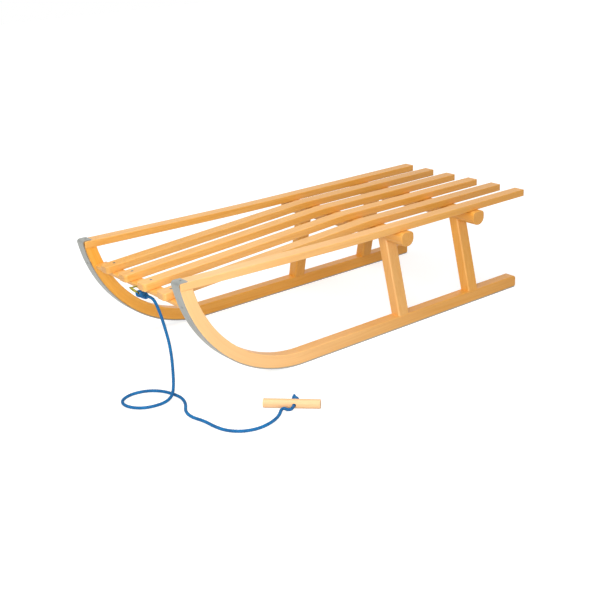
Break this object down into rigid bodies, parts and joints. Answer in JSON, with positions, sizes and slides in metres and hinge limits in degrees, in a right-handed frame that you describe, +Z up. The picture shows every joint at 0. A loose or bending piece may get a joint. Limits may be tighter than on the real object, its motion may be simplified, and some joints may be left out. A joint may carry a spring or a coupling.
{
  "type": "wooden toboggan",
  "caption": "Bent-wood snow sled with a slatted seat, splayed legs, steel-shod runners curling up to the side rails, and a pull rope with a wooden handle.",
  "frame": {"origin": "on the ground, under the middle of the sled's length and width (the rope and its handle are left out)", "axes": "+Z up; -Y is the front, where the runners curl up; +X is the rider's left"},
  "size_m": [0.5665, 0.9925, 0.233],
  "materials": {
    "beech_wood": "clear satin lacquer over pale beech, grain along each piece",
    "handle_wood": "plain turned beech, unlacquered",
    "zinc_strip": "zinc-plated flat strip, dull",
    "zinc_screws": "zinc-plated",
    "rope_braid": "braided polypropylene cord, soft sheen"
  },
  "bodies": {
    "root": {"left_side_rail": "beech_wood", "right_side_rail": "beech_wood", "left_runner": "beech_wood", "right_runner": "beech_wood", "left_runner_iron": "zinc_strip", "right_runner_iron": "zinc_strip", "front_bolster": "beech_wood", "rear_bolster": "beech_wood", "front_left_leg": "beech_wood", "front_right_leg": "beech_wood", "rear_left_leg": "beech_wood", "rear_right_leg": "beech_wood", "front_crossbar": "beech_wood", "bolster_screws": "zinc_screws", "runner_iron_screws": "zinc_screws", "runner_tip_screws": "zinc_screws", "slat_tip_screws": "zinc_screws", "screw_eye": "zinc_screws", "pull_rope": "rope_braid", "eye_knot": "rope_braid", "pull_handle": "handle_wood", "handle_knot": "rope_braid", "outer_right_slat": "beech_wood", "inner_right_slat": "beech_wood", "inner_left_slat": "beech_wood", "outer_left_slat": "beech_wood"}
  },
  "joints": []
}
